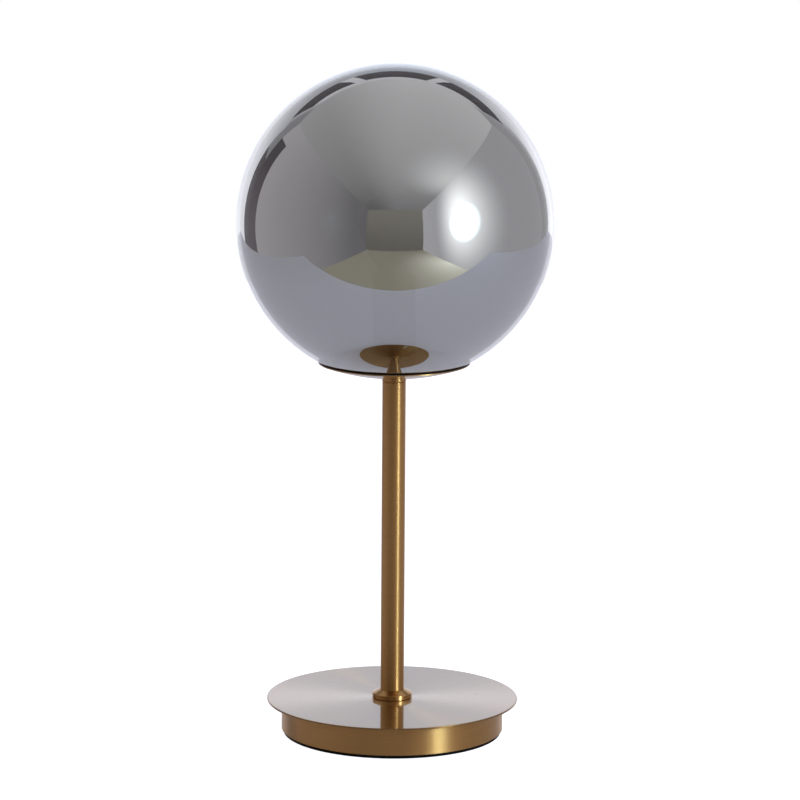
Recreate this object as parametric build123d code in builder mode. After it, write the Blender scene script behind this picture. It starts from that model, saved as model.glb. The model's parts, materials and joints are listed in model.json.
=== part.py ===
from build123d import *
from math import cos, pi, sqrt
import os

# Glass table lamp: a mirror-glass globe on a brass saucer, a slim stem and an overhanging disc base.
# Millimetres, +Z up, origin at the centre of the base's underside. The front faces -Y.

# Base: foam pad, pressed drum, iron weight and overhanging disc
pad_thickness = 2.2
pad_inset = 1.2
drum_diameter = 141.2
drum_height = 18.8
drum_wall = 1.2
drum_bend = 1.6
plate_diameter = 160.0
plate_thickness = 1.2
plate_edge = 0.4
weight_clearance = 0.4
weight_rim = 10.0
weight_skin = 1.6
weight_chamfer = 1.0
hub_wall = 8.0

# Cord way at the back of the drum
cord_diameter = 5.6
cord_clearance = 0.2
bushing_wall = 1.1
bushing_lip = 0.4
lip_length = 1.5
bushing_flange = 1.4
flange_thickness = 1.6
flange_round = 0.5
bushing_reach = 6.0
bushing_fit = 0.1
bushing_rise = 0.4
channel_room = 0.3

# Tie rod and its fasteners
rod_diameter = 10.0
rod_wall = 1.5
rod_clearance = 0.2
thread_clearance = 0.05
rod_tail = 1.0
tail_room = 2.0
nut_sides = 6
nut_wall = 2.0
nut_height = 4.0
washer_margin = 2.0
washer_thickness = 1.6
lock_thickness = 1.2
lock_split = 1.0
spanner_room = 4.0

# Stem: tube, collar at its foot and ferrule at its top
stem_length = 206.0
stem_gap = 1.5
stem_wall = 1.0
stem_end_bevel = 0.5
collar_clearance = 0.1
collar_step = 5.2
collar_band = 3.1
collar_bevel = 2.4
collar_land = 0.4
collar_round = 0.3
collar_relief = 0.4
ferrule_height = 3.4
ferrule_step = 0.3
ferrule_bevel = 0.3
spigot_length = 6.0
spigot_clearance = 0.2
grub_diameter = 2.0
grub_clearance = 0.15
grub_recess = 0.3
grub_slot_width = 0.35
grub_slot_depth = 0.5

# Saucer, gasket and globe
mouth_diameter = 94.6
globe_diameter = 200.0
glass_wall = 2.5
lip_land = 0.6
lip_round = 0.25
dish_overhang = 0.9
dish_curve = 138.0
dish_wall = 0.6
flat_margin = 0.5
gasket_thickness = 0.35
gasket_inset = 0.2
gasket_margin = 0.2

# Spring clips that centre the globe's mouth
clip_count = 3
clip_start_angle = 90.0
clip_plate_diameter = 48.0
clip_plate_thickness = 1.0
clip_plate_gap = 0.3
clip_width = 9.0
clip_thickness = 0.5
clip_foot = 9.0
clip_run = 2.0
clip_bend = 1.2
clip_gap = 0.3
clip_shoulder = 1.0
clip_drop = 1.5
clip_crest = 1.2
clip_rise = 9.0
clip_lean = 3.0
rivet_diameter = 3.2
rivet_clearance = 0.05
rivet_head_diameter = 5.4
rivet_head_height = 1.0
rivet_tail_diameter = 4.6
rivet_tail_height = 0.5

# Lamp holder, E14
holder_cap_height = 13.0
holder_cap_wall = 1.0
holder_cap_floor = 1.6
boss_wall = 3.0
boss_height = 7.0
rod_top_drop = 0.5
neck_length = 5.5
neck_fit = 0.2
neck_wall = 0.8
ledge_thickness = 0.8
shell_wall = 0.8
shell_fit = 0.2
shell_rim_rise = 2.0
insert_wall = 4.95
insert_floor = 14.3
socket_depth = 26.0
liner_ledge = 4.0
liner_step = 1.2
liner_wall = 0.5
liner_fit = 0.1
liner_length = 19.0
contact_height = 3.2
contact_thickness = 0.5
contact_width = 5.0
contact_top = 4.0
contact_spread = 2.0
contact_foot = 2.0
screw_count = 2
screw_circle_diameter = 14.4
screw_diameter = 3.0
screw_clearance = 0.05
screw_length = 8.0
screw_head_diameter = 5.4
screw_head_height = 2.2
screw_slot_width = 0.8
screw_slot_depth = 1.0

# Bulb, golf ball with E14 cap
socket_clearance = 0.3
contact_gap = 0.3
bulb_cap_diameter = 13.7
bulb_cap_length = 18.6
bulb_cap_wall = 0.4
cap_taper = 1.2
pip_diameter = 4.8
pip_nose_diameter = 3.4
pip_height = 1.4
insulator_height = 2.5
insulator_fit = 0.1
insulator_gap = 0.1
insulator_plug = 1.6
bulb_diameter = 45.0
bulb_length = 78.0
seam_drop = 11.0
envelope_wall = 1.0
housing_fit = 0.1
housing_plug = 6.0
housing_shoulder = 0.6
housing_neck_rise = 2.5
housing_neck_flare = 0.8
housing_wall = 1.3
board_margin = 2.6
board_fit = 0.15
board_thickness = 1.2
board_depth = 2.2
board_ledge = 1.5

# Heights and radii of the base
drum_radius = drum_diameter / 2
drum_inner_radius = drum_radius - drum_wall
drum_bottom = pad_thickness
drum_top = drum_bottom + drum_height
plate_top = drum_top + plate_thickness
weight_radius = drum_inner_radius - weight_clearance
weight_top = drum_top - drum_wall

# Tie rod sizes
rod_radius = rod_diameter / 2
rod_hole = rod_radius + rod_clearance
thread_hole = rod_radius + thread_clearance
nut_apothem = rod_radius + nut_wall
washer_radius = nut_apothem / cos(pi / nut_sides) + washer_margin
recess_radius = washer_radius + spanner_room
rod_bottom = drum_bottom + tail_room
lower_nut_bottom = rod_bottom + rod_tail
lock_bottom = lower_nut_bottom + nut_height
lower_washer_bottom = lock_bottom + lock_thickness
recess_top = lower_washer_bottom + washer_thickness

# Cord way
cord_bore = cord_diameter / 2 + cord_clearance
bushing_neck = cord_bore + bushing_wall
bushing_lip_radius = bushing_neck + bushing_lip
bushing_flange_radius = bushing_neck + bushing_flange
cord_height = drum_bottom + bushing_flange_radius + bushing_rise
channel_half_width = bushing_lip_radius + channel_room
channel_top = cord_height + channel_half_width
pocket_floor = channel_top + weight_skin
hub_radius = recess_radius + hub_wall
pocket_radius = weight_radius - weight_rim
back = Plane(origin=(0, 0, cord_height), x_dir=(-1, 0, 0), z_dir=(0, 1, 0))

# Stem
tube_inner_radius = rod_radius + stem_gap
stem_radius = tube_inner_radius + stem_wall
collar_radius = stem_radius + collar_step
collar_bore = stem_radius + collar_clearance
stem_top = plate_top + stem_length
ferrule_top = stem_top + ferrule_height
ferrule_radius = stem_radius + ferrule_step
ferrule_middle = (stem_top + ferrule_top) / 2
grub_radius = grub_diameter / 2

# Saucer: a spherical cap with a flat seat at its middle
mouth_radius = mouth_diameter / 2
dish_radius = mouth_radius + dish_overhang
dish_flat = washer_radius + flat_margin
dish_bottom = ferrule_top
dish_centre = dish_bottom + sqrt(dish_curve**2 - dish_flat**2)
dish_floor = dish_bottom + dish_wall
dish_inner_curve = dish_curve - dish_wall
dish_floor_flat = sqrt(dish_inner_curve**2 - (dish_centre - dish_floor) ** 2)


def dish_under(radius):
    """Height of the saucer's underside at this radius."""
    return dish_centre - sqrt(dish_curve**2 - radius**2)


def dish_inside(radius):
    """Height of the saucer's inner face at this radius."""
    return dish_centre - sqrt(dish_inner_curve**2 - radius**2)


# Globe: its mouth rests on the gasket
mouth_height = dish_inside(dish_radius) + gasket_thickness
globe_radius = globe_diameter / 2
globe_inner_radius = globe_radius - glass_wall
globe_centre = mouth_height + sqrt(globe_radius**2 - mouth_radius**2)
mouth_bore = sqrt(globe_inner_radius**2 - (globe_centre - mouth_height - lip_land) ** 2)
gasket_outer = dish_radius - gasket_inset
gasket_inner = mouth_bore - gasket_margin

# Clip plate and clips
clip_plate_radius = clip_plate_diameter / 2
clip_plate_bottom = dish_inside(clip_plate_radius) + clip_plate_gap
clip_plate_top = clip_plate_bottom + clip_plate_thickness
clip_centre_line = clip_plate_top + clip_thickness / 2
clip_reach = gasket_inner - clip_gap - clip_thickness / 2
rivet_circle = clip_plate_radius - clip_foot / 2
rivet_radius = rivet_diameter / 2

# Lamp holder, from its socket outwards and from the upper nut upwards
upper_nut_top = clip_plate_top + nut_height
bulb_cap_radius = bulb_cap_diameter / 2
liner_inner = bulb_cap_radius + socket_clearance
liner_outer = liner_inner + liner_wall
insert_bore = liner_outer + liner_fit
insert_well = insert_bore - liner_step
insert_radius = insert_bore + insert_wall
shell_inner = insert_radius + shell_fit
shell_radius = shell_inner + shell_wall
holder_cap_inner = shell_radius - holder_cap_wall
neck_outer = holder_cap_inner - neck_fit
neck_inner = neck_outer - neck_wall
holder_bottom = upper_nut_top
holder_cap_top = holder_bottom + holder_cap_height
rod_top = holder_bottom + boss_height - rod_top_drop
insert_bottom = holder_cap_top + ledge_thickness
socket_floor = insert_bottom + insert_floor
liner_bottom = socket_floor + liner_ledge
insert_top = socket_floor + socket_depth
shell_top = insert_top + shell_rim_rise
screw_circle = screw_circle_diameter / 2
screw_radius = screw_diameter / 2

# Bulb, from its tip upwards
bulb_tip = socket_floor + contact_height + contact_gap
insulator_bottom = bulb_tip + pip_height
bulb_cap_bottom = insulator_bottom + insulator_height
bulb_cap_top = bulb_cap_bottom + bulb_cap_length
bulb_cap_inner = bulb_cap_radius - bulb_cap_wall
cap_mouth = bulb_cap_radius - cap_taper - bulb_cap_wall
bulb_radius = bulb_diameter / 2
bulb_centre = bulb_tip + bulb_length - bulb_radius
seam_height = bulb_centre - seam_drop
seam_radius = sqrt(bulb_radius**2 - seam_drop**2)
envelope_inner = bulb_radius - envelope_wall
board_radius = seam_radius - board_margin
board_bottom = seam_height - board_depth


def turned_profile(*points):
    """Closed outline of (radius, height) points, to be turned about Z."""
    with BuildSketch(Plane.XZ) as drawing:
        with BuildLine():
            Polyline(*points, close=True)
        make_face()
    return drawing.sketch


def ring_profile(inner, outer, bottom, top):
    """Rectangular cross-section of a ring."""
    return turned_profile((inner, bottom), (outer, bottom), (outer, top), (inner, top))


# Foam pad
with BuildPart() as base_pad:
    revolve(ring_profile(0, drum_radius - pad_inset, 0, pad_thickness))

# Cast-iron weight: a hub and a rim joined by a thinner web, open below for the nut and the cord
with BuildPart() as base_weight:
    revolve(
        turned_profile(
            (rod_hole, recess_top),
            (recess_radius, recess_top),
            (recess_radius, drum_bottom),
            (weight_radius, drum_bottom),
            (weight_radius, weight_top - weight_chamfer),
            (weight_radius - weight_chamfer, weight_top),
            (pocket_radius, weight_top),
            (pocket_radius, pocket_floor),
            (hub_radius, pocket_floor),
            (hub_radius, weight_top),
            (rod_hole, weight_top),
        )
    )
    with BuildSketch(Plane.XY.offset(drum_bottom)):
        with Locations((0, weight_radius / 2)):
            Rectangle(2 * channel_half_width, weight_radius)
        Circle(recess_radius, mode=Mode.SUBTRACT)
    extrude(amount=channel_top - drum_bottom, mode=Mode.SUBTRACT)

# Pressed drum: an inverted pan with a bent top edge and the cord hole at its back
with BuildPart() as base_drum:
    revolve(
        turned_profile(
            (rod_hole, drum_top),
            (rod_hole, weight_top),
            (drum_inner_radius, weight_top),
            (drum_inner_radius, drum_bottom),
            (drum_radius, drum_bottom),
            (drum_radius, drum_top),
        )
    )
    fillet(base_drum.edges().group_by(Axis.Z)[-1].sort_by(SortBy.RADIUS)[-1], drum_bend)
    with BuildSketch(back):
        Circle(bushing_neck + bushing_fit)
    extrude(amount=drum_diameter, mode=Mode.SUBTRACT)

# Overhanging disc
with BuildPart() as base_plate:
    revolve(ring_profile(rod_hole, plate_diameter / 2, drum_top, plate_top))
    fillet(base_plate.edges().filter_by(GeomType.CIRCLE).group_by(SortBy.RADIUS)[-1], plate_edge)

# Cord bushing: a flange bedded on the drum, a neck through its wall and a lip behind it
with BuildPart() as cord_bushing:
    with BuildSketch(back.offset(drum_inner_radius)):
        Circle(bushing_flange_radius)
    extrude(amount=drum_wall + flange_thickness)
    fillet(cord_bushing.edges().group_by(Axis.Y)[-1], flange_round)
    with BuildSketch(Plane.XY):
        Circle(drum_radius)
    extrude(amount=drum_top, mode=Mode.SUBTRACT)
    with BuildSketch(back.offset(drum_radius - bushing_reach)):
        Circle(bushing_neck)
    extrude(amount=bushing_reach + flange_thickness / 2)
    with BuildSketch(back.offset(weight_radius - channel_room - lip_length)):
        Circle(bushing_lip_radius)
    extrude(amount=lip_length)
    with BuildSketch(back.offset(drum_radius - bushing_reach)):
        Circle(cord_bore)
    extrude(amount=bushing_reach + flange_thickness, mode=Mode.SUBTRACT)

# Fasteners under the weight
with BuildPart() as lower_washer:
    revolve(ring_profile(rod_hole, washer_radius, lower_washer_bottom, recess_top))

with BuildPart() as lock_washer:
    revolve(ring_profile(rod_hole, washer_radius - washer_margin, lock_bottom, lower_washer_bottom))
    with BuildSketch(Plane.XY.offset(lock_bottom)):
        with Locations((washer_radius / 2, 0)):
            Rectangle(washer_radius, lock_split)
    extrude(amount=lock_thickness, mode=Mode.SUBTRACT)

with BuildPart() as lower_nut:
    with BuildSketch(Plane.XY.offset(lower_nut_bottom)):
        RegularPolygon(nut_apothem, nut_sides, major_radius=False)
        Circle(thread_hole, mode=Mode.SUBTRACT)
    extrude(amount=nut_height)

# Hollow tie rod, from under the weight up into the lamp holder
with BuildPart() as threaded_rod:
    revolve(ring_profile(rod_radius - rod_wall, rod_radius, rod_bottom, rod_top))

# Collar: a plain band, relieved at its foot, below a bevel that runs in to the tube
with BuildPart() as stem_collar:
    revolve(
        turned_profile(
            (collar_bore, plate_top),
            (collar_radius - collar_relief, plate_top),
            (collar_radius, plate_top + collar_relief),
            (collar_radius, plate_top + collar_band),
            (collar_bore + collar_land, plate_top + collar_band + collar_bevel),
            (collar_bore, plate_top + collar_band + collar_bevel),
        )
    )
    collar_rims = stem_collar.edges().filter_by(GeomType.CIRCLE).group_by(SortBy.RADIUS)[-1]
    fillet(collar_rims.sort_by(Axis.Z)[-1], collar_round)

# Tube: its top end is bevelled, which leaves a fine groove under the ferrule
with BuildPart() as stem_tube:
    revolve(ring_profile(tube_inner_radius, stem_radius, plate_top, stem_top))
    tube_rims = stem_tube.edges().filter_by(GeomType.CIRCLE).group_by(SortBy.RADIUS)[-1]
    chamfer(tube_rims.sort_by(Axis.Z)[-1], stem_end_bevel)

# Ferrule: a ring on the tube's top, with a spigot inside the tube and a set screw at the front
with BuildPart() as stem_ferrule:
    revolve(
        turned_profile(
            (rod_hole, ferrule_top),
            (rod_hole, stem_top - spigot_length),
            (tube_inner_radius - spigot_clearance, stem_top - spigot_length),
            (tube_inner_radius - spigot_clearance, stem_top),
            (ferrule_radius - ferrule_bevel, stem_top),
            (ferrule_radius, stem_top + ferrule_bevel),
            (ferrule_radius, ferrule_top),
        )
    )
    with BuildSketch(Plane.XZ.offset(rod_radius)):
        with Locations((0, ferrule_middle)):
            Circle(grub_radius + grub_clearance)
    extrude(amount=ferrule_radius, mode=Mode.SUBTRACT)

with BuildPart() as grub_screw:
    with BuildSketch(Plane.XZ.offset(rod_radius + thread_clearance)):
        with Locations((0, ferrule_middle)):
            Circle(grub_radius)
    extrude(amount=ferrule_radius - grub_recess - rod_radius - thread_clearance)
    with BuildSketch(Plane.XZ.offset(ferrule_radius - grub_recess)):
        with Locations((0, ferrule_middle)):
            Rectangle(grub_diameter, grub_slot_width)
    extrude(amount=-grub_slot_depth, mode=Mode.SUBTRACT)

# Saucer: sheet metal, outer and inner face on one centre
with BuildPart() as shade_dish:
    with BuildSketch(Plane.XZ):
        with BuildLine():
            half_way = (dish_flat + dish_radius) / 2
            Polyline((rod_hole, dish_floor), (rod_hole, dish_bottom), (dish_flat, dish_bottom))
            ThreePointArc(
                (dish_flat, dish_bottom),
                (half_way, dish_under(half_way)),
                (dish_radius, dish_under(dish_radius)),
            )
            Line((dish_radius, dish_under(dish_radius)), (dish_radius, dish_inside(dish_radius)))
            ThreePointArc(
                (dish_radius, dish_inside(dish_radius)),
                (half_way, dish_inside(half_way)),
                (dish_floor_flat, dish_floor),
            )
            Line((dish_floor_flat, dish_floor), (rod_hole, dish_floor))
        make_face()
    revolve()

# Rubber seat ring: flat on top for the glass, bedded on the saucer below
with BuildPart() as dish_gasket:
    with BuildSketch(Plane.XZ):
        with BuildLine():
            seat_middle = (gasket_inner + gasket_outer) / 2
            ThreePointArc(
                (gasket_inner, dish_inside(gasket_inner)),
                (seat_middle, dish_inside(seat_middle)),
                (gasket_outer, dish_inside(gasket_outer)),
            )
            Polyline(
                (gasket_outer, dish_inside(gasket_outer)),
                (gasket_outer, mouth_height),
                (gasket_inner, mouth_height),
                (gasket_inner, dish_inside(gasket_inner)),
            )
        make_face()
    revolve()

with BuildPart() as dish_spacer:
    revolve(ring_profile(rod_hole, washer_radius, dish_floor, clip_plate_bottom))

# Clip plate with its rivet holes
with BuildPart() as clip_plate:
    with BuildSketch(Plane.XY.offset(clip_plate_bottom)):
        Circle(clip_plate_radius)
        Circle(rod_hole, mode=Mode.SUBTRACT)
        with PolarLocations(rivet_circle, clip_count, clip_start_angle):
            Circle(rivet_radius + rivet_clearance, mode=Mode.SUBTRACT)
    extrude(amount=clip_plate_thickness)

# One leaf spring: a foot on the plate, a rise over the saucer and a crest inside the globe's mouth
with BuildPart() as clip:
    with BuildSketch(Plane.XZ):
        with BuildLine():
            FilletPolyline(
                (clip_plate_radius - clip_foot, clip_centre_line),
                (clip_plate_radius + clip_run, clip_centre_line),
                (clip_reach - clip_shoulder, mouth_height - clip_drop),
                (clip_reach, mouth_height + clip_crest),
                (clip_reach - clip_lean, mouth_height + clip_rise),
                radius=clip_bend,
            )
        trace(line_width=clip_thickness)
    extrude(amount=clip_width / 2, both=True)
    with BuildSketch(Plane.XY.offset(clip_plate_top)):
        with Locations((rivet_circle, 0)):
            Circle(rivet_radius + rivet_clearance)
    extrude(amount=clip_thickness, mode=Mode.SUBTRACT)

with BuildPart() as globe_clips:
    with PolarLocations(0, clip_count, clip_start_angle):
        add(clip.part)

# Rivets: a head on the clip's foot, a shank and a closed tail under the plate
rivet_head_bottom = clip_plate_top + clip_thickness
with BuildPart() as clip_rivets:
    with PolarLocations(rivet_circle, clip_count, clip_start_angle):
        with Locations((0, 0, clip_plate_bottom - rivet_tail_height)):
            Cylinder(
                rivet_tail_diameter / 2,
                rivet_tail_height,
                align=(Align.CENTER, Align.CENTER, Align.MIN),
            )
        with Locations((0, 0, clip_plate_bottom)):
            Cylinder(
                rivet_radius,
                clip_plate_thickness + clip_thickness,
                align=(Align.CENTER, Align.CENTER, Align.MIN),
            )
        with Locations((0, 0, rivet_head_bottom)):
            Cone(
                rivet_head_diameter / 2,
                rivet_radius,
                rivet_head_height,
                align=(Align.CENTER, Align.CENTER, Align.MIN),
            )

with BuildPart() as upper_nut:
    with BuildSketch(Plane.XY.offset(clip_plate_top)):
        RegularPolygon(nut_apothem, nut_sides, major_radius=False)
        Circle(thread_hole, mode=Mode.SUBTRACT)
    extrude(amount=nut_height)

# Globe: a blown ball with a ground mouth
with BuildPart() as glass_globe:
    with BuildSketch(Plane.XZ):
        with BuildLine():
            ThreePointArc(
                (mouth_radius, mouth_height),
                (globe_radius, globe_centre),
                (0, globe_centre + globe_radius),
            )
            Line((0, globe_centre + globe_radius), (0, globe_centre + globe_inner_radius))
            ThreePointArc(
                (0, globe_centre + globe_inner_radius),
                (globe_inner_radius, globe_centre),
                (mouth_bore, mouth_height + lip_land),
            )
            Polyline(
                (mouth_bore, mouth_height + lip_land),
                (mouth_bore, mouth_height),
                (mouth_radius, mouth_height),
            )
        make_face()
    revolve()
    fillet(glass_globe.edges().group_by(Axis.Z)[0], lip_round)

# Lamp holder: cap with a threaded boss
with BuildPart() as holder_cap:
    revolve(
        turned_profile(
            (thread_hole, holder_bottom),
            (shell_radius, holder_bottom),
            (shell_radius, holder_cap_top),
            (holder_cap_inner, holder_cap_top),
            (holder_cap_inner, holder_bottom + holder_cap_floor),
            (thread_hole + boss_wall, holder_bottom + holder_cap_floor),
            (thread_hole + boss_wall, holder_bottom + boss_height),
            (thread_hole, holder_bottom + boss_height),
        )
    )

# Lamp holder: upper shell, with a neck that goes into the cap and a ledge for the insert
with BuildPart() as holder_shell:
    revolve(
        turned_profile(
            (neck_inner, holder_cap_top - neck_length),
            (neck_outer, holder_cap_top - neck_length),
            (neck_outer, holder_cap_top),
            (shell_radius, holder_cap_top),
            (shell_radius, shell_top),
            (shell_inner, shell_top),
            (shell_inner, insert_bottom),
            (neck_inner, insert_bottom),
        )
    )

# Porcelain insert: a stepped socket above, two screw holes below
with BuildPart() as holder_insert:
    revolve(
        turned_profile(
            (0, insert_bottom),
            (insert_radius, insert_bottom),
            (insert_radius, insert_top),
            (insert_bore, insert_top),
            (insert_bore, liner_bottom),
            (insert_well, liner_bottom),
            (insert_well, socket_floor),
            (0, socket_floor),
        )
    )
    with BuildSketch(Plane.XY.offset(insert_bottom)):
        with PolarLocations(screw_circle, screw_count):
            Circle(screw_radius + screw_clearance)
    extrude(amount=screw_length, mode=Mode.SUBTRACT)

with BuildPart() as socket_liner:
    revolve(ring_profile(liner_inner, liner_outer, liner_bottom, liner_bottom + liner_length))

# Leaf contact: a bridge of sheet bronze on the socket's floor
leaf_low = socket_floor + contact_thickness / 2
leaf_high = socket_floor + contact_height - contact_thickness / 2
with BuildPart() as centre_contact:
    with BuildSketch(Plane.XZ):
        with BuildLine():
            Polyline(
                (-contact_top / 2 - contact_spread - contact_foot, leaf_low),
                (-contact_top / 2 - contact_spread, leaf_low),
                (-contact_top / 2, leaf_high),
                (contact_top / 2, leaf_high),
                (contact_top / 2 + contact_spread, leaf_low),
                (contact_top / 2 + contact_spread + contact_foot, leaf_low),
            )
        trace(line_width=contact_thickness)
    extrude(amount=contact_width / 2, both=True)

# Terminal screws under the insert, slotted
with BuildPart() as terminal_screws:
    with BuildSketch(Plane.XY.offset(insert_bottom)):
        with PolarLocations(screw_circle, screw_count):
            Circle(screw_radius)
    extrude(amount=screw_length)
    with BuildSketch(Plane.XY.offset(insert_bottom)):
        with PolarLocations(screw_circle, screw_count):
            Circle(screw_head_diameter / 2)
    extrude(amount=-screw_head_height)
    with BuildSketch(Plane.XY.offset(insert_bottom - screw_head_height)):
        with PolarLocations(screw_circle, screw_count):
            Rectangle(screw_slot_width, screw_head_diameter)
    extrude(amount=screw_slot_depth, mode=Mode.SUBTRACT)

# Bulb: contact pip, insulator, screw cap, housing, light board and opal ball
with BuildPart() as bulb_contact:
    revolve(
        turned_profile(
            (0, bulb_tip),
            (pip_nose_diameter / 2, bulb_tip),
            (pip_diameter / 2, insulator_bottom),
            (0, insulator_bottom),
        )
    )

with BuildPart() as bulb_insulator:
    revolve(
        turned_profile(
            (0, insulator_bottom),
            (pip_diameter / 2, insulator_bottom),
            (cap_mouth + bulb_cap_wall, bulb_cap_bottom - insulator_gap),
            (cap_mouth - insulator_fit, bulb_cap_bottom - insulator_gap),
            (cap_mouth - insulator_fit, bulb_cap_bottom + insulator_plug),
            (0, bulb_cap_bottom + insulator_plug),
        )
    )

with BuildPart() as bulb_cap:
    revolve(
        turned_profile(
            (cap_mouth, bulb_cap_bottom),
            (cap_mouth + bulb_cap_wall, bulb_cap_bottom),
            (bulb_cap_radius, bulb_cap_bottom + cap_taper),
            (bulb_cap_radius, bulb_cap_top),
            (bulb_cap_inner, bulb_cap_top),
            (bulb_cap_inner, bulb_cap_bottom + cap_taper),
        )
    )

with BuildPart() as bulb_housing:
    revolve(
        turned_profile(
            (bulb_cap_inner - housing_fit - housing_wall, bulb_cap_top - housing_plug),
            (bulb_cap_inner - housing_fit, bulb_cap_top - housing_plug),
            (bulb_cap_inner - housing_fit, bulb_cap_top),
            (bulb_cap_radius + housing_shoulder, bulb_cap_top),
            (bulb_cap_radius + housing_shoulder + housing_neck_flare, bulb_cap_top + housing_neck_rise),
            (seam_radius, seam_height),
            (board_radius + board_fit, seam_height),
            (board_radius + board_fit, board_bottom),
            (board_radius - board_ledge, board_bottom),
            (bulb_cap_radius + housing_shoulder - housing_wall, bulb_cap_top + housing_neck_rise),
        )
    )

with BuildPart() as led_board:
    revolve(ring_profile(0, board_radius, board_bottom, board_bottom + board_thickness))

with BuildPart() as bulb_envelope:
    with BuildSketch(Plane.XZ):
        with BuildLine():
            envelope_foot = sqrt(envelope_inner**2 - seam_drop**2)
            ThreePointArc(
                (seam_radius, seam_height),
                (bulb_radius, bulb_centre),
                (0, bulb_centre + bulb_radius),
            )
            Line((0, bulb_centre + bulb_radius), (0, bulb_centre + envelope_inner))
            ThreePointArc(
                (0, bulb_centre + envelope_inner),
                (envelope_inner, bulb_centre),
                (envelope_foot, seam_height),
            )
            Line((envelope_foot, seam_height), (seam_radius, seam_height))
        make_face()
    revolve()

# Every piece is written as a node of its own
pieces = {
    "base_pad": base_pad,
    "base_weight": base_weight,
    "base_drum": base_drum,
    "base_plate": base_plate,
    "cord_bushing": cord_bushing,
    "lower_washer": lower_washer,
    "lock_washer": lock_washer,
    "lower_nut": lower_nut,
    "threaded_rod": threaded_rod,
    "stem_collar": stem_collar,
    "stem_tube": stem_tube,
    "stem_ferrule": stem_ferrule,
    "grub_screw": grub_screw,
    "shade_dish": shade_dish,
    "dish_gasket": dish_gasket,
    "dish_spacer": dish_spacer,
    "clip_plate": clip_plate,
    "globe_clips": globe_clips,
    "clip_rivets": clip_rivets,
    "upper_nut": upper_nut,
    "glass_globe": glass_globe,
    "holder_cap": holder_cap,
    "holder_shell": holder_shell,
    "holder_insert": holder_insert,
    "socket_liner": socket_liner,
    "centre_contact": centre_contact,
    "terminal_screws": terminal_screws,
    "bulb_contact": bulb_contact,
    "bulb_insulator": bulb_insulator,
    "bulb_cap": bulb_cap,
    "bulb_housing": bulb_housing,
    "led_board": led_board,
    "bulb_envelope": bulb_envelope,
}
os.makedirs("parts", exist_ok=True)
for node, piece in pieces.items():
    piece.part.label = node
    export_step(piece.part, f"parts/{node}.step")

print(f"globe centre {globe_centre:.2f}, overall height {globe_centre + globe_radius:.2f}")
print(f"saucer rim radius {dish_radius:.2f}, mouth height {mouth_height:.2f}, mouth bore {mouth_bore:.2f}")
print(f"lamp holder {holder_bottom:.2f} to {shell_top:.2f}, radius {shell_radius:.2f}")
print(f"bulb tip {bulb_tip:.2f}, bulb top {bulb_centre + bulb_radius:.2f}")
print(f"cord bore radius {cord_bore:.2f} at height {cord_height:.2f}")
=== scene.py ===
# %% [markdown]
# # A globe table lamp in glass and brass
# The lamp is a ball of smoked mirror glass on a shallow brass saucer, a slim brass tube and a brass disc
# that overhangs a low drum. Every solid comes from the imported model, in metres, with the lamp's foot at the
# origin and its front towards -Y. This lesson adds the camera, a small studio for the mirror to look at,
# a finish for each piece, and finer surfaces where the solids are too plain.

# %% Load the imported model
import json
import math

import bpy
import numpy as np
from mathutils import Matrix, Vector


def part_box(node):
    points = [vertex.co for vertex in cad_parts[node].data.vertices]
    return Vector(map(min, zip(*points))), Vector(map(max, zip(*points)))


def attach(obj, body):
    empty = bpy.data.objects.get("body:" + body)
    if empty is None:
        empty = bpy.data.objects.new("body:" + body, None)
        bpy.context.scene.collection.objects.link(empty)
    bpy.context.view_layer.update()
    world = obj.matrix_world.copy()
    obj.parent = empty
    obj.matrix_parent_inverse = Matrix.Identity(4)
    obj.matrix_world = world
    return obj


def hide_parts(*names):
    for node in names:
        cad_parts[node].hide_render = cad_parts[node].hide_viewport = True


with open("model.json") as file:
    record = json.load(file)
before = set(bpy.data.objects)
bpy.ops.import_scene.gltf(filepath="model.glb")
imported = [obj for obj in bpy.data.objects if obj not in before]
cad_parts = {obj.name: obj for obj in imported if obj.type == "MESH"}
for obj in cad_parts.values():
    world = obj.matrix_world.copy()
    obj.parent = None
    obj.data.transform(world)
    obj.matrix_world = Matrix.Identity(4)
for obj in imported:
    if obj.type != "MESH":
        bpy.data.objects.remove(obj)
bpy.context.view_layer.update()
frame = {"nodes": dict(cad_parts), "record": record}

nodes = frame["nodes"]
scene = bpy.context.scene
MM = 0.001

# %% [markdown]
# ## Camera
# The photograph looks slightly down on the lamp from about three metres, through a long lens. A camera can be
# set by eye, but a lens and a distance that are both a little wrong look almost right. So the lens, the
# height and the tilt were solved from the outlines of the globe, the disc, the drum and the saucer's rim. The
# lamp stands a few pixels left of the middle and leans a third of a degree, so the camera stands that far to
# the right and rolls that much.

# %% Camera
CAMERA_DISTANCE = 3.0
CAMERA_HEIGHT = 0.8035
CAMERA_SIDE = 0.0038
CAMERA_TILT = 0.1935
CAMERA_ROLL = math.radians(0.38)
PHOTO_SIZE_PX = 800
FOCAL_LENGTH_PX = 4832.6

camera = bpy.data.objects.new("camera", bpy.data.cameras.new("camera"))
camera.data.sensor_width = 36.0
camera.data.lens = FOCAL_LENGTH_PX / PHOTO_SIZE_PX * camera.data.sensor_width
camera.location = (CAMERA_SIDE, -CAMERA_DISTANCE, CAMERA_HEIGHT)
camera.rotation_mode = "ZYX"
camera.rotation_euler = (math.pi / 2 - CAMERA_TILT, 0, CAMERA_ROLL)
scene.collection.objects.link(camera)
scene.camera = camera
scene.view_settings.view_transform = "Standard"
print("lens:", round(camera.data.lens, 1), "mm")

# %% [markdown]
# ## Small helpers
# Colours are picked as sRGB hex values, as in any paint program, but shaders work in linear light, so one
# function converts them. A second one adds a shader node with its settings, values and links, which keeps a
# material down to a short list of steps. A third one puts arrays of points and faces into a mesh.


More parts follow.
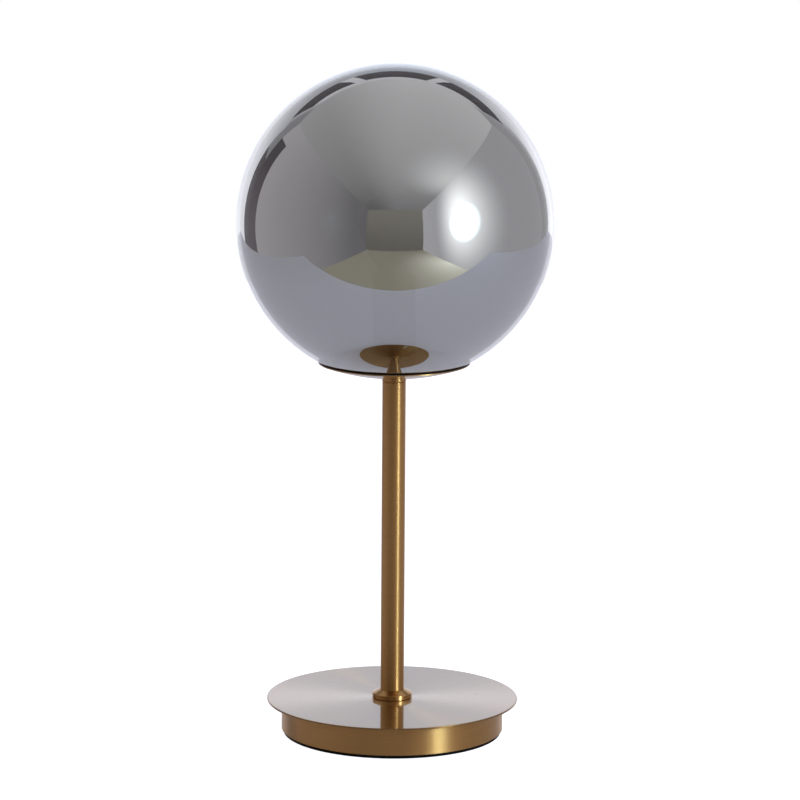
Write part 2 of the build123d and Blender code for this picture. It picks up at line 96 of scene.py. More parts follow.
# %% Helpers for colours, nodes and meshes
SHARP_EDGE = math.radians(35)


def linear(hex_colour):
    """sRGB hex to linear RGBA: the standard curve, a short straight toe and then a power of 2.4."""
    srgb = np.array([int(hex_colour[i : i + 2], 16) for i in (1, 3, 5)]) / 255
    rgb = np.where(srgb <= 0.04045, srgb / 12.92, ((srgb + 0.055) / 1.055) ** 2.4)
    return (*rgb.tolist(), 1.0)


def add(tree, kind, inputs=None, **settings):
    """Adds a node, sets its properties, and gives each input a value or a link from another node's output."""
    made = tree.nodes.new(kind)
    for name, value in settings.items():
        setattr(made, name, value)
    for name, value in (inputs or {}).items():
        if isinstance(value, bpy.types.NodeSocket):
            tree.links.new(value, made.inputs[name])
        else:
            made.inputs[name].default_value = value
    return made


def put_mesh(name, vertices, faces):
    """A mesh object from arrays of points and of corner indices, smooth but for its sharp edges."""
    mesh = bpy.data.meshes.new(name)
    mesh.from_pydata(vertices.tolist(), [], [corners for block in faces for corners in block.tolist()])
    mesh.shade_smooth()
    mesh.set_sharp_from_angle(angle=SHARP_EDGE)
    made = bpy.data.objects.new(name, mesh)
    scene.collection.objects.link(made)
    return made


print("mid grey #808080 in linear light:", round(linear("#808080")[0], 3))

# %% [markdown]
# ## Studio
# A mirror shows nothing of its own, so half of the likeness lies in what stands around it. Here that is a
# plain room: a white table, a pale sweep behind it that is lit from both sides, grey walls, and one large
# soft glow on the right-hand wall, which draws the bright line on the stem and the drum. Lamps could light
# such a room, but a mirror then shows them as hard shapes. So the walls are flat panels that give off a
# little light themselves, each shading from one level to another. The camera doesn't see them, only the
# mirror, the brass and the diffuse light do, and the picture keeps its white background.


# %% Panels that give off light
def glowing(name, colour, *ramps, glows=()):
    """A colour that gives off light. A ramp is an axis, two places along it and the level at each: the level
    eases from one to the other, and the ramps are multiplied. Glows are added to that. A glow is a colour, a
    centre, a reach along each axis and a peak: it falls from the peak at the centre to nothing at its reach,
    as the square of the way that is left."""
    material = bpy.data.materials.new(name)
    material.use_nodes = True
    tree = material.node_tree
    tree.nodes.clear()
    place = add(tree, "ShaderNodeTexCoord")
    axes = add(tree, "ShaderNodeSeparateXYZ", {0: place.outputs["Object"]})
    level = 1.0
    for axis, start, end, start_level, end_level in ramps:
        ramp = add(tree, "ShaderNodeMapRange", {
            "Value": axes.outputs[axis], "From Min": start, "From Max": end,
            "To Min": start_level, "To Max": end_level}, interpolation_type="SMOOTHSTEP")
        level = add(tree, "ShaderNodeMath", {0: ramp.outputs[0], 1: level}, operation="MULTIPLY").outputs[0]
    light = add(tree, "ShaderNodeEmission", {"Color": linear(colour), "Strength": level}).outputs[0]
    for tint, centre, reach, peak in glows:
        scale = 1 / np.array(reach)
        spread = add(tree, "ShaderNodeMapping", {
            "Vector": place.outputs["Object"], "Scale": scale, "Location": -np.array(centre) * scale})
        near = add(tree, "ShaderNodeTexGradient", {"Vector": spread.outputs[0]},
                   gradient_type="QUADRATIC_SPHERE")
        height = add(tree, "ShaderNodeMath", {0: near.outputs["Fac"], 1: peak}, operation="MULTIPLY")
        bright = add(tree, "ShaderNodeEmission", {"Color": linear(tint), "Strength": height.outputs[0]})
        light = add(tree, "ShaderNodeAddShader", {0: light, 1: bright.outputs[0]}).outputs[0]
    add(tree, "ShaderNodeOutputMaterial", {"Surface": light})
    return material


def panel(name, corner, across, up, material):
    """A rectangle on the stage: one corner and the two sides that leave it."""
    corner, across, up = (np.array(v, float) for v in (corner, across, up))
    made = put_mesh(name, np.array([corner, corner + across, corner + across + up, corner + up]),
                    [np.array([[0, 1, 2, 3]])])
    made.data.materials.append(material)
    made.visible_camera = False
    return made


print("halfway to its reach, a glow keeps", (1 - 0.5) ** 2, "of its peak")

# %% Room around the lamp
LEFT, RIGHT, FRONT, BACK = -2.0, 2.0, -5.5, 1.7
FLOOR, CEILING = -0.75, 2.13
WIDTH, DEPTH, HEIGHT = RIGHT - LEFT, BACK - FRONT, CEILING - FLOOR
WIDE_GLOW = "#fafefc", (RIGHT, -1.81, 0.85), (2.5, 1.94, 2.39), 3.1
FLOOR_GLOW = "#fafef2", (RIGHT, -2.3, FLOOR), (2.3, 3.4, 1.0), 1.25
# The shade of a wall is its colour, then its ramps.
BACK_SHADE = "#f0f0f4", ("X", -1.1, -1.6, 1.0, 0.42), ("X", 1.1, 1.6, 1.0, 0.58)
LEFT_SHADE = "#c8c5c8", ("Y", -4.0, BACK, 0.45, 1.1)
RIGHT_SHADE = "#e6e6ea", ("Y", FRONT, BACK, 0.95, 0.75)
FRONT_SHADE = "#aaa69c", ("Z", FLOOR, CEILING, 0.62, 0.88)
CEILING_SHADE = "#e8e8e9", ("Y", FRONT, BACK, 0.45, 1.05), ("X", -1.3, 0.2, 0.66, 1.0)
FLOOR_SHADE = "#b8b4a2", ("Y", FRONT, BACK, 0.9, 1.0)

across, inwards, upwards = (WIDTH, 0, 0), (0, DEPTH, 0), (0, 0, HEIGHT)
near_left = LEFT, FRONT, FLOOR
panel("studio_back", (LEFT, BACK, FLOOR), across, upwards, glowing("back wall", *BACK_SHADE))
panel("studio_left", near_left, inwards, upwards, glowing("left wall", *LEFT_SHADE))
panel("studio_right", (RIGHT, FRONT, FLOOR), inwards, upwards,
      glowing("right wall", *RIGHT_SHADE, glows=[WIDE_GLOW]))
panel("studio_front", near_left, across, upwards, glowing("far wall", *FRONT_SHADE))
panel("studio_ceiling", (LEFT, FRONT, CEILING), across, inwards,
      glowing("ceiling", *CEILING_SHADE, glows=[WIDE_GLOW]))
panel("studio_floor", near_left, across, inwards, glowing("studio floor", *FLOOR_SHADE, glows=[FLOOR_GLOW]))
print("studio:", WIDTH, "by", DEPTH, "by", HEIGHT, "m")

# %% [markdown]
# The middle of the glow is far brighter than the rest. A small bright spot on a large panel makes a noisy
# picture, because the renderer picks its light samples evenly over a panel. So that part of the wall is a
# panel of its own, a hair in front of the wall and with the same light at its edges.

# %% Bright middle of the glow
IN_FRONT = 0.02
CORE_GLOW = "#bfebff", (RIGHT, -1.72, 0.62), (1.0, 0.8, 0.62), 53.0
_, (_, core_y, core_z), (_, core_reach_y, core_reach_z), _ = CORE_GLOW
panel("studio_glow", (RIGHT - IN_FRONT, core_y - core_reach_y, core_z - core_reach_z),
      (0, 2 * core_reach_y, 0), (0, 0, 2 * core_reach_z),
      glowing("bright middle", *RIGHT_SHADE, glows=[WIDE_GLOW, CORE_GLOW]))
print("glow beside the lamp,", core_z, "m up")

# %% [markdown]
# Behind the table hangs the sweep, a wide sheet of pale paper, brighter towards both ends and slightly cool
# in the middle. Its ends draw the white rim of the globe, and its middle the sheen of the disc. Dark openings
# above it and a dark flag at its left-hand end stand for what a studio leaves unlit: without something dark
# beside it, a white rim doesn't read as glass.

# %% Sweep, dark openings and flag
SWEEP_LEFT, SWEEP_RIGHT, SWEEP_TOP = -1.5, 1.25, 1.36
SWEEP_FADE = "Z", 0.35, SWEEP_TOP, 1.34, 0.72
MIDDLE_LEVEL, LEFT_LEVEL, RIGHT_LEVEL = 0.86, 1.12, 1.35
COOL_GLOW = "#00b4ff", (0.0, BACK, 0.45), (0.75, 1.0, 1.6), 0.25
DARK_SHADE = "#6a6468", ("Z", 0.0, SWEEP_TOP, 1.4, 0.75)
OPENINGS = ((-1.3, -0.52), (-0.38, 0.38), (0.5, 1.4))
OPENING_TOP = 1.88
FLAG_NEAR, FLAG_TOP, FLAG_BACK_TOP = 1.07, 1.55, 1.0

for end, side, end_level in ((SWEEP_LEFT, "left", LEFT_LEVEL), (SWEEP_RIGHT, "right", RIGHT_LEVEL)):
    lit = glowing(f"sweep paper, {side} half", "#eeeff6",
                  ("X", 0.3 * end, 0.8 * end, MIDDLE_LEVEL, end_level), SWEEP_FADE, glows=[COOL_GLOW])
    panel(f"studio_sweep_{side}", (0, BACK - IN_FRONT, FLOOR), (end, 0, 0), (0, 0, SWEEP_TOP - FLOOR), lit)
dark = glowing("unlit cloth", *DARK_SHADE)
for number, (start, end) in enumerate(OPENINGS):
    panel(f"studio_opening_{number}", (start, BACK - IN_FRONT, SWEEP_TOP), (end - start, 0, 0),
          (0, 0, OPENING_TOP - SWEEP_TOP), dark)
panel("studio_flag_back", (LEFT, BACK - IN_FRONT, FLOOR), (SWEEP_LEFT - LEFT, 0, 0),
      (0, 0, FLAG_BACK_TOP - FLOOR), dark)
panel("studio_flag_side", (LEFT + IN_FRONT, FLAG_NEAR, FLOOR), (0, BACK - FLAG_NEAR, 0),
      (0, 0, FLAG_TOP - FLOOR), dark)
print("sweep from", SWEEP_LEFT, "to", SWEEP_RIGHT, "m, up to", SWEEP_TOP, "m")

# %% [markdown]
# The table is a real surface that catches the lamp's shadow. Its front edge stands less than half a metre
# before the lamp, which draws the curved edge in the lower half of the globe. More light would turn the paper
# white, but it would bleach the brass too. So a little light is added for rays from the camera: the paper
# comes out white and the shadow stays. Rays that were bent by something clear get the same light, and
# mirrored rays get a quarter of it.

# %% Table and background
TABLE_FRONT, TABLE_LEFT, TABLE_RIGHT = -0.45, -1.07, 1.33
SEEN_LIFT, MIRRORED_LIFT = 0.88, 0.22
# Uncoated paper: no gloss at all, only soft shadow.
table_paper = bpy.data.materials.new("matt white paper")
table_paper.use_nodes = True
tree = table_paper.node_tree
tree.nodes.clear()
path = add(tree, "ShaderNodeLightPath")
paper = add(tree, "ShaderNodeBsdfDiffuse", {"Color": linear("#c4c2cf")})
seen = add(tree, "ShaderNodeMath", {0: path.outputs["Is Camera Ray"], 1: path.outputs["Is Transmission Ray"]},
           operation="MAXIMUM")
lift = add(tree, "ShaderNodeMath", {0: seen.outputs[0], 1: SEEN_LIFT}, operation="MULTIPLY")
lift = add(tree, "ShaderNodeMath", {0: path.outputs["Is Glossy Ray"], 1: MIRRORED_LIFT, 2: lift.outputs[0]},
           operation="MULTIPLY_ADD")
white = add(tree, "ShaderNodeEmission", {"Color": linear("#ffffff"), "Strength": lift.outputs[0]})
both = add(tree, "ShaderNodeAddShader", {0: paper.outputs[0], 1: white.outputs[0]})
add(tree, "ShaderNodeOutputMaterial", {"Surface": both.outputs[0]})
table = panel("studio_table", (TABLE_LEFT, TABLE_FRONT, 0), (TABLE_RIGHT - TABLE_LEFT, 0, 0),
              (0, BACK - TABLE_FRONT, 0), table_paper)
table.visible_camera = True

world = bpy.data.worlds.new("white background")
scene.world = world
world.use_nodes = True
tree = world.node_tree
tree.nodes.clear()
sky = add(tree, "ShaderNodeBackground", {"Color": linear("#ffffff"), "Strength": 1.0})
add(tree, "ShaderNodeOutputWorld", {"Surface": sky.outputs[0]})
print("table edge:", -TABLE_FRONT, "m in front of the lamp")

# %% [markdown]
# ## Brass
# The metal is sheet and tube with a satin brass finish. A belt was held against the turning piece, so the
# grain runs round the axis: rings on the disc, hoops on the tube and the drum. Light spreads across the grain
# and stays sharp along it. Millions of fine lines could be modelled for that, but the anisotropic setting
# gives the same spread on a plain surface. A clear lacquer keeps the metal from tarnishing. It lies thick and
# smooth on the disc, where at a low angle it mirrors the pale sweep, so that the disc looks almost grey. On
# the tube and the drum it is thin, and the colour of the metal shows.


# %% Materials with a grain
# A colour Mix node shares its socket names with other kinds of mix, so its sockets go by number.
MIX_FACTOR, MIX_A, MIX_B, MIX_RESULT = 0, 6, 7, 2


def start_material(name, **values):
    """A new material with one Principled shader, and constants set straight on its sockets."""
    material = bpy.data.materials.new(name)
    material.use_nodes = True
    tree = material.node_tree
    shader = tree.nodes["Principled BSDF"]
    for socket, value in values.items():
        shader.inputs[socket.replace("_", " ")].default_value = value
    return material, tree, shader


def show_grain(tree, shader, grain, dark, light, smooth, rough, strength, depth):
    """Lets one pattern move the colour from dark to light, the roughness from smooth to rough, and the
    surface by a depth."""
    tone = add(tree, "ShaderNodeMix", {
        MIX_FACTOR: grain, MIX_A: linear(dark), MIX_B: linear(light)}, data_type="RGBA")
    gloss = add(tree, "ShaderNodeMapRange", {"Value": grain, "To Min": smooth, "To Max": rough})
    relief = add(tree, "ShaderNodeBump", {"Height": grain, "Strength": strength, "Distance": depth})
    tree.links.new(tone.outputs[MIX_RESULT], shader.inputs["Base Color"])
    tree.links.new(gloss.outputs[0], shader.inputs["Roughness"])
    tree.links.new(relief.outputs[0], shader.inputs["Normal"])


print("a colour Mix node gives its result at output", MIX_RESULT)

# %% Satin brass
# A real belt leaves lines about 0.1 mm apart. They are too fine to show here and are drawn this wide.
BELT_GRAIN = 1.4 * MM
# The lines are this deep, show with this strength, and move the roughness this far to either side.
BELT_DEPTH, BELT_STRENGTH, BELT_GLOSS = 0.05 * MM, 0.005, 0.02


def satin_brass(name, dark, light, roughness, lacquer, lacquer_roughness, lacquer_ior=1.5):
    """Brass turned under a belt: the grain is noise over (radius, height), stretched along the angle."""
    material, tree, shader = start_material(
        name, Metallic=1.0, Anisotropic=1.0, Anisotropic_Rotation=0.25,
        Coat_Weight=lacquer, Coat_Roughness=lacquer_roughness, Coat_IOR=lacquer_ior)
    place = add(tree, "ShaderNodeTexCoord")
    # Half a turn puts the place where the angle starts again at the back.
    half_turn = add(tree, "ShaderNodeMapping", {
        "Vector": place.outputs["Object"], "Rotation": (0, 0, math.pi)})
    axes = add(tree, "ShaderNodeSeparateXYZ", {0: half_turn.outputs[0]})
    flat = add(tree, "ShaderNodeCombineXYZ", {"X": axes.outputs["X"], "Y": axes.outputs["Y"]})
    radius = add(tree, "ShaderNodeVectorMath", {0: flat.outputs[0]}, operation="LENGTH")
    angle = add(tree, "ShaderNodeMath", {0: axes.outputs["X"], 1: axes.outputs["Y"]}, operation="ARCTAN2")
    stretched = add(tree, "ShaderNodeMath", {0: angle.outputs[0], 1: 2 * BELT_GRAIN}, operation="MULTIPLY")
    polar = add(tree, "ShaderNodeCombineXYZ", {
        "X": radius.outputs["Value"], "Y": axes.outputs["Z"], "Z": stretched.outputs[0]})
    grain = add(tree, "ShaderNodeTexNoise", {
        "Vector": polar.outputs[0], "Scale": 1 / BELT_GRAIN, "Detail": 3.0, "Roughness": 0.6})
    show_grain(tree, shader, grain.outputs["Fac"], dark, light,
               roughness - BELT_GLOSS, roughness + BELT_GLOSS, BELT_STRENGTH, BELT_DEPTH)
    hoop = add(tree, "ShaderNodeTangent", direction_type="RADIAL", axis="Z")
    tree.links.new(hoop.outputs[0], shader.inputs["Tangent"])
    return material


# Belt grain: one broad soft highlight along the tube, and deep warm brown beside it.
brass = satin_brass("satin brass, belt-grained", "#a27847", "#b38852", 0.40, 0.2, 0.42)
# Fine turning under thick lacquer: a pale sheen with faint rings, and a soft mirror image of the stem.
disc_brass = satin_brass(
    "satin brass, finely turned and lacquered", "#987240", "#aa814a", 0.28, 1.0, 0.04, lacquer_ior=1.55)
# Lathe turning: small bright lines where the bevels face the light.
collar_brass = satin_brass("bright turned brass", "#9c7342", "#ac814c", 0.2, 0.3, 0.2)
# Brass plating on drawn steel: a paler gold with an even gloss.
holder_brass = satin_brass("brass-plated drawn steel", "#9c7a48", "#b08b55", 0.36, 0.6, 0.2)
print("made", ", ".join(made.name for made in (brass, disc_brass, collar_brass, holder_brass)))

# %% [markdown]
# ## Mirror glass
# The globe is blown glass with a thin metal film, a half mirror: it sends back about two fifths of the light,
# more towards the rim, and lets a little through, so that the lamp holder shows faintly. A glass shader could
# trace both faces of the wall, but it has no film. So a metal shader with a clear coat gives the reflection,
# and an alpha below one lets the inside through without bending it, as a thin wall does.

# %% Mirror glass
GLASS_WAVE, GLASS_WAVE_DEPTH = 60 * MM, 0.05 * MM

# Blown glass under an evaporated film: a dark, sharp mirror that wavers a little, as blown walls do.
mirror_glass, tree, shader = start_material(
    "smoked glass with a half-mirror film", Base_Color=linear("#c6c6c7"), Metallic=1.0, Roughness=0.015,
    Alpha=0.66, Coat_Weight=1.0, Coat_Roughness=0.01, Coat_IOR=1.5)
place = add(tree, "ShaderNodeTexCoord")
waves = add(tree, "ShaderNodeTexNoise", {
    "Vector": place.outputs["Object"], "Scale": 1 / GLASS_WAVE, "Detail": 1.0})
relief = add(tree, "ShaderNodeBump", {
    "Height": waves.outputs["Fac"], "Strength": 0.15, "Distance": GLASS_WAVE_DEPTH})
tree.links.new(relief.outputs[0], shader.inputs["Normal"])

# The grey body of the glass, seen at the inner face: it dims what shines through from the other side.
smoked_glass, _, _ = start_material(
    "smoked inner face of blown glass", Base_Color=linear("#2a2a2e"), Roughness=0.03, Alpha=0.7, IOR=1.5)
print("made", mirror_glass.name, "and", smoked_glass.name)

# %% [markdown]
# ## Rubber, foam, steel and the rest
# Most of these pieces lie inside the lamp and show when the globe is lifted off. Each could have a painted
# picture of its surface. One noise pattern at a real size is simpler and needs no unwrapping, and it is
# enough to keep the colour, the gloss and the surface from looking too even.


# %% Plain finishes
SPECKLE_STRENGTH = 0.5


def speckled(name, dark, light, roughness, grain_mm, relief_mm, **values):
    """A material with one noise pattern that shifts its colour, its gloss and its surface a little."""
    material, tree, shader = start_material(name, **values)
    place = add(tree, "ShaderNodeTexCoord")
    grain = add(tree, "ShaderNodeTexNoise", {
        "Vector": place.outputs["Object"], "Scale": 1 / (grain_mm * MM), "Detail": 4.0})
    show_grain(tree, shader, grain.outputs["Fac"], dark, light,
               0.8 * roughness, 1.2 * roughness, SPECKLE_STRENGTH, relief_mm * MM)
    return material


finishes = {
    "satin_brass": brass,
    "holder_brass": holder_brass,
    "smoked_mirror_glass": mirror_glass,
    # A moulded seal: dull black, with a soft grey sheen along its edge.
    "black_rubber": speckled("moulded black rubber", "#110f0e", "#1d1b1a", 0.5, 0.8, 0.02,
                             Specular_IOR_Level=0.25),
    # Foam with open pores: black that gives back almost no light.
    "black_foam": speckled("black foam rubber", "#0a0807", "#131110", 0.9, 0.9, 0.15, Specular_IOR_Level=0.1),
    # Sand-cast metal: a grainy dark grey skin.
    "cast_iron": speckled("grey cast iron", "#3a3a3c", "#58585a", 0.6, 1.5, 0.1, Metallic=0.8),
    # Zinc plating: a cool light grey that changes a little from patch to patch.
    "zinc_steel": speckled("zinc-plated steel", "#b4b6b8", "#d2d3d4", 0.3, 4.0, 0.01, Metallic=1.0),
    # Rolled and tempered strip: darker than zinc, with a sharper gloss.
    "spring_steel": speckled("tempered spring steel", "#8f8f92", "#b0b0b2", 0.25, 3.0, 0.01, Metallic=1.0),
    # A moulded bushing: black with a fine eroded texture.
    "black_nylon": speckled("moulded black nylon", "#141415", "#1f1f20", 0.45, 0.6, 0.02),
    # Glaze over fired clay: warm white with a wet gloss.
    "porcelain": speckled("glazed porcelain", "#e2dfd6", "#efece4", 0.12, 6.0, 0.01, Coat_Weight=0.6),
    # Nickel plating: a warm silver mirror, slightly hazy.
    "nickel_brass": speckled("nickel-plated brass", "#c4c0b8", "#dad7d0", 0.2, 3.0, 0.01, Metallic=1.0),
    # Rolled sheet: a coppery shine.
    "contact_bronze": speckled("rolled phosphor bronze", "#b07f4e", "#c9966a", 0.28, 2.0, 0.01, Metallic=1.0),
    # A frozen drop: dull silver with small ripples.
    "solder_tin": speckled("tin solder", "#b2b3b5", "#cfd0d2", 0.35, 1.0, 0.05, Metallic=1.0),
    # Pressed while hot: glossy black with soft waves.
    "black_glass": speckled("pressed black glass", "#0b0b0c", "#161617", 0.15, 3.0, 0.02),
    # Injection moulding: an even, slightly soft white.
    "white_plastic": speckled("moulded white plastic", "#e6e5e0", "#f1f0ec", 0.4, 0.8, 0.01),
    # Printed solder mask on metal: flat white with a low gloss.
    "aluminium_board": speckled("aluminium board, white mask", "#dddcd6", "#ecebe6", 0.35, 1.0, 0.01),
    # Blown plastic with white pigment: light goes in a little way and comes out soft.
    "opal_plastic": speckled("opal diffuser", "#e9e6dd", "#f4f2ec", 0.35, 2.0, 0.01, Subsurface_Weight=0.4,
                             Subsurface_Radius=(1.0, 0.9, 0.75), Subsurface_Scale=1.5 * MM),
}
slots = {row["node"]: row["material_slot"] for row in frame["record"]["subparts"]}
special = {"shade_dish": disc_brass, "stem_collar": collar_brass}
for name, node in nodes.items():
    node.data.materials.clear()
    node.data.materials.append(special.get(name, finishes[slots[name]]))
print("finished", len(nodes), "solids in", len(finishes), "finishes")

# %% [markdown]
# ## Globe
# A mirror shows every facet, so the ball is worked out again as a fine surface. A ready-made sphere would
# still need its wall, its mouth and its lip. An outline that is turned about the axis has them all: the inner
# arc runs from the crown down to the mouth, a ground edge joins it to the outer arc, and that one goes back
# up to the crown.


# %% Turned surfaces
ON_AXIS = 1e-7


def turned(name, profile, segments, groove=0.0):
    """A closed outline of (radius, height) points carried round Z: point = (r cos a, r sin a, h).
    An outline that starts and ends on the axis closes in a point at either end. A groove, one depth for each
    point of the outline and each step of the turn, is taken off the radius r."""
    with_poles = profile[0, 0] < ON_AXIS
    rings = profile[1:-1] if with_poles else profile
    turn = np.arange(segments) * 2 * math.pi / segments
    reach = rings[:, :1] - groove
    points = np.stack([
        reach * np.cos(turn), reach * np.sin(turn), np.repeat(rings[:, 1:], segments, axis=1)],
        axis=-1).reshape(-1, 3)
    here = np.arange(segments)
    beside = (here + 1) % segments
    ring = np.arange(len(rings))[:, None] * segments
    following = np.roll(ring, -1, axis=0)
    bands = np.stack([ring + here, ring + beside, following + beside, following + here], axis=-1)
    if not with_poles:
        return put_mesh(name, points, [bands.reshape(-1, 4)])
    poles = [[0, 0, profile[0, 1]], [0, 0, profile[-1, 1]]]
    first_pole = np.full(segments, len(points))
    fans = [np.stack([first_pole, beside, here], axis=-1),
            np.stack([ring[-1] + here, ring[-1] + beside, first_pole + 1], axis=-1)]
    return put_mesh(name, np.vstack([points, poles]), [bands[:-1].reshape(-1, 4), *fans])


def arc(centre_height, radius, start, end, count):
    """Points of a circle on the axis, by their angle from straight down."""
    angle = np.linspace(start, end, count)
    return np.stack([radius * np.sin(angle), centre_height - radius * np.cos(angle)], axis=-1)


print("half a circle as (radius, height):", arc(0.0, 1.0, 0.0, math.pi, 3).round(3).tolist())

# %% Globe shell
globe_low, globe_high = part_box("glass_globe")
GLASS_WALL = 2.5 * MM
LIP_LAND = 0.6 * MM
SEGMENTS, OUTER_RINGS, INNER_RINGS = 256, 144, 96
globe_radius = globe_high.x
globe_centre = globe_high.z - globe_radius
mouth_drop = globe_centre - globe_low.z
inner_radius = globe_radius - GLASS_WALL
outer_start = math.acos(mouth_drop / globe_radius)
inner_start = math.acos((mouth_drop - LIP_LAND) / inner_radius)
outside = arc(globe_centre, globe_radius, outer_start, math.pi, OUTER_RINGS)
inside = arc(globe_centre, inner_radius, math.pi, inner_start, INNER_RINGS)
inside[0, 0] = outside[-1, 0] = 0
bore_foot = np.array([[inside[-1, 0], globe_low.z]])
globe = turned("globe_shell", np.vstack([inside, bore_foot, outside]), SEGMENTS)
globe.data.materials.append(mirror_glass)
globe.data.materials.append(smoked_glass)
# The bands of the inside, the bore and the lip come first. The fans of the two crowns come last, the inner
# one before the outer one.
band = np.arange(len(globe.data.polygons)) // SEGMENTS
is_inner = (band < len(inside)) | (band == band[-1] - 1)
globe.data.polygons.foreach_set("material_index", is_inner.astype(np.int32))
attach(globe, "globe")
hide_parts("glass_globe")
print("globe radius", round(globe_radius, 4), "centre", round(globe_centre, 4))

# %% [markdown]
# ## Disc of the base
# The disc is cut from sheet and turned on a lathe, top and edge. Its top is bright, and the edge is given a
# darker brass, which is painted shade: seen from the front it draws a fine brown line between the pale top
# and the drum. A cylinder with a bevel would do as well, but the turning function is there already and needs
# only an outline with two rounded corners. One more ring close to each corner keeps the smooth shading of the
# corner from spreading over the flat face.


# %% Base disc
def quarter_round(radius, height, size, start, count=5):
    """A rounded corner between two faces: points of a small circle, by angle from straight outwards."""
    angle = np.linspace(start, start + math.pi / 2, count)
    return np.stack([radius + size * np.cos(angle), height + size * np.sin(angle)], axis=-1)


disc_low, disc_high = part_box("base_plate")
DISC_HOLE = 5.2 * MM
DISC_ROUND = 0.4 * MM
rim = disc_high.x - DISC_ROUND
under_edge = quarter_round(rim, disc_low.z + DISC_ROUND, DISC_ROUND, -math.pi / 2)
over_edge = quarter_round(rim, disc_high.z - DISC_ROUND, DISC_ROUND, 0)
flat_rim = rim - DISC_ROUND
disc_outline = np.vstack([
    [[DISC_HOLE, disc_low.z], [flat_rim, disc_low.z]], under_edge, over_edge,
    [[flat_rim, disc_high.z], [DISC_HOLE, disc_high.z]]])
disc = turned("base_disc", disc_outline, SEGMENTS)
# A cut edge, duller than the face. Its darker colour is painted shade, so that the edge draws a line.
disc_edge_painted_shade = satin_brass("satin brass, cut edge, painted shade", "#735125", "#8f6834", 0.34, 0.5, 0.4)
disc.data.materials.append(disc_brass)
disc.data.materials.append(disc_edge_painted_shade)
band = np.arange(len(disc.data.polygons)) // SEGMENTS
is_edge = (band >= 2) & (band <= len(under_edge) + len(over_edge))
disc.data.polygons.foreach_set("material_index", is_edge.astype(np.int32))
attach(disc, "stand")
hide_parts("base_plate")
print("disc radius", round(disc_high.x, 4), "thickness", round(disc_high.z - disc_low.z, 4))

# %% [markdown]
# ## Tube of the stem
# A tube as long and slim as this one shows each flat of a coarse mesh as a stripe in its highlight. Smooth
# shading alone would hide the flats but not the corners of its outline. So it is turned again with more
# steps, from the same outline: a plain pipe with a small bevel at its top end, where a fine groove shows
# under the ring that carries the saucer.

# %% Stem tube
tube_low, tube_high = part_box("stem_tube")
TUBE_WALL = 1.0 * MM
TUBE_BEVEL = 0.5 * MM
tube_radius = tube_high.x
tube_bore = tube_radius - TUBE_WALL
tube = turned("stem_pipe", np.array([
    [tube_bore, tube_low.z], [tube_radius, tube_low.z], [tube_radius, tube_high.z - TUBE_BEVEL],
    [tube_radius - TUBE_BEVEL, tube_high.z], [tube_bore, tube_high.z]]), SEGMENTS)
tube.data.materials.append(brass)
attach(tube, "stand")
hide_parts("stem_tube")
print("tube", round((tube_high.z - tube_low.z) / MM), "mm long,", round(2 * tube_radius / MM, 1), "mm across")

# %% [markdown]
# ## Lamp holder
# The metal holder is two drawn cups screwed into each other. What tells them apart is the joint: both edges
# are broken with a small bevel, so a fine V-groove runs round the sleeve. The cup's foot and the sleeve's rim
# are rounded by the drawing tool. A Bevel modifier could round these edges, but it would round all of them
# alike, and in an outline each edge has its own size.

# %% Holder cup and sleeve
cup_low, cup_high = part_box("holder_cap")
sleeve_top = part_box("holder_shell")[1].z
HOLDER_BORE = 5.05 * MM
CUP_WALL, CUP_FLOOR, CUP_ROUND = 1.0 * MM, 1.6 * MM, 0.8 * MM
SLEEVE_WALL, RIM_ROUND, JOINT_BEVEL = 0.8 * MM, 0.35 * MM, 0.4 * MM
holder_radius = cup_high.x
joint = cup_high.z
cup_inside = holder_radius - CUP_WALL
cup = turned("holder_cup", np.vstack([
    [[HOLDER_BORE, cup_low.z]],
    quarter_round(holder_radius - CUP_ROUND, cup_low.z + CUP_ROUND, CUP_ROUND, -math.pi / 2),
    [[holder_radius, joint - JOINT_BEVEL], [holder_radius - JOINT_BEVEL, joint], [cup_inside, joint],
     [cup_inside, cup_low.z + CUP_FLOOR], [HOLDER_BORE, cup_low.z + CUP_FLOOR]]]), SEGMENTS)
sleeve_inside = holder_radius - SLEEVE_WALL
sleeve = turned("holder_sleeve", np.vstack([
    [[sleeve_inside, joint], [holder_radius - JOINT_BEVEL, joint], [holder_radius, joint + JOINT_BEVEL]],
    quarter_round(holder_radius - RIM_ROUND, sleeve_top - RIM_ROUND, RIM_ROUND, 0),
    [[sleeve_inside, sleeve_top]]]), SEGMENTS)
for piece, node in ((cup, "holder_cap"), (sleeve, "holder_shell")):
    piece.data.materials.append(holder_brass)
    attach(piece, "stand")
    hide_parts(node)
print("holder joint at", round(joint / MM, 1), "mm")

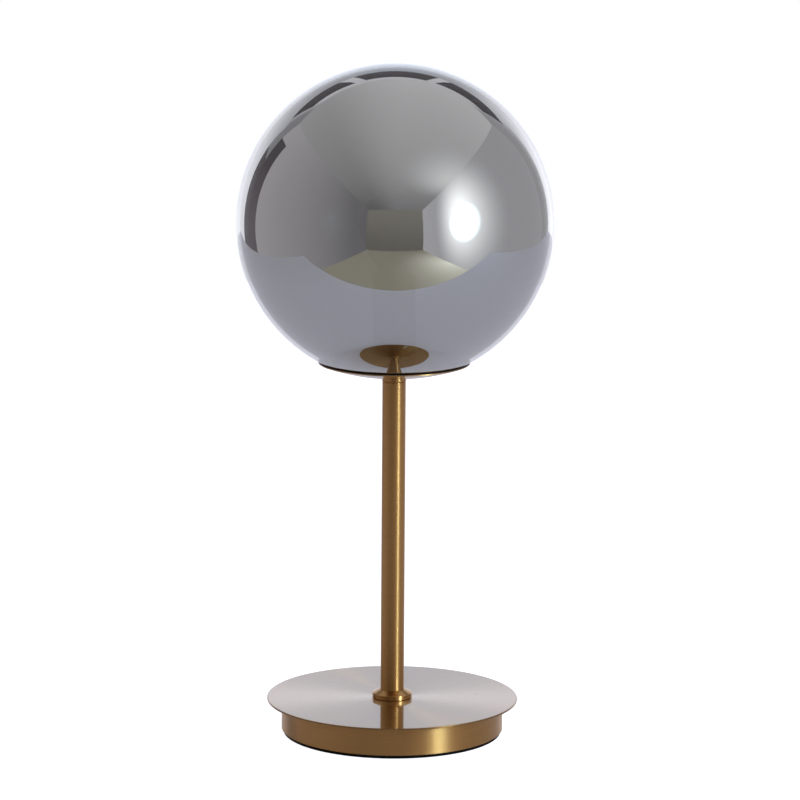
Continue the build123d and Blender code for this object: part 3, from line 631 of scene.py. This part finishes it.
# %% [markdown]
# ## Screw cap of the bulb
# A bulb's cap is thin sheet, rolled into a round thread between two dies. The solid is a plain cylinder,
# because only the pitch matters for its motion. A ridge could be swept along a helix and joined to it, but
# rolled sheet has no seam there. So the thread is part of the turned surface: a wave that goes once round the
# cap for each step up, and fades out at the foot and below the smooth collar. It is a right-hand thread.

# %% Rolled screw thread
cap_low, cap_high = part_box("bulb_cap")
THREAD_PITCH = 2.822 * MM
THREAD_DEPTH = 0.48 * MM
CAP_TAPER, CAP_WALL, CAP_COLLAR = 1.2 * MM, 0.4 * MM, 6.2 * MM
CAP_SEGMENTS, CAP_RINGS = 128, 160
cap_radius = cap_high.x
cap_inside = cap_radius - CAP_WALL - THREAD_DEPTH
collar_foot = cap_high.z - CAP_COLLAR
heights = np.linspace(cap_low.z + CAP_TAPER, cap_high.z, CAP_RINGS)
foot = [[cap_radius - CAP_TAPER - CAP_WALL, cap_low.z], [cap_radius - CAP_TAPER, cap_low.z]]
wall = np.stack([np.full(CAP_RINGS, cap_radius), heights], axis=-1)
cap_outline = np.vstack([
    foot, wall,
    [[cap_radius - CAP_WALL, cap_high.z], [cap_radius - CAP_WALL, collar_foot],
     [cap_inside, collar_foot - CAP_WALL], [cap_inside, cap_low.z + CAP_TAPER]]])
around = np.arange(CAP_SEGMENTS) * 2 * math.pi / CAP_SEGMENTS
from_foot = np.clip((heights - heights[0]) / (THREAD_PITCH / 2), 0, 1)
from_collar = np.clip((collar_foot - heights) / (THREAD_PITCH / 2), 0, 1)
wave = (1 - np.cos(2 * math.pi * heights[:, None] / THREAD_PITCH - around)) / 2
thread = np.zeros((len(cap_outline), CAP_SEGMENTS))
thread[len(foot) : len(foot) + CAP_RINGS] = THREAD_DEPTH * (from_foot * from_collar)[:, None] * wave
cap = turned("bulb_screw_cap", cap_outline, CAP_SEGMENTS, thread)
cap.data.materials.append(finishes["nickel_brass"])
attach(cap, "bulb")
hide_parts("bulb_cap")
print("thread pitch", THREAD_PITCH / MM, "mm, depth", THREAD_DEPTH / MM, "mm")
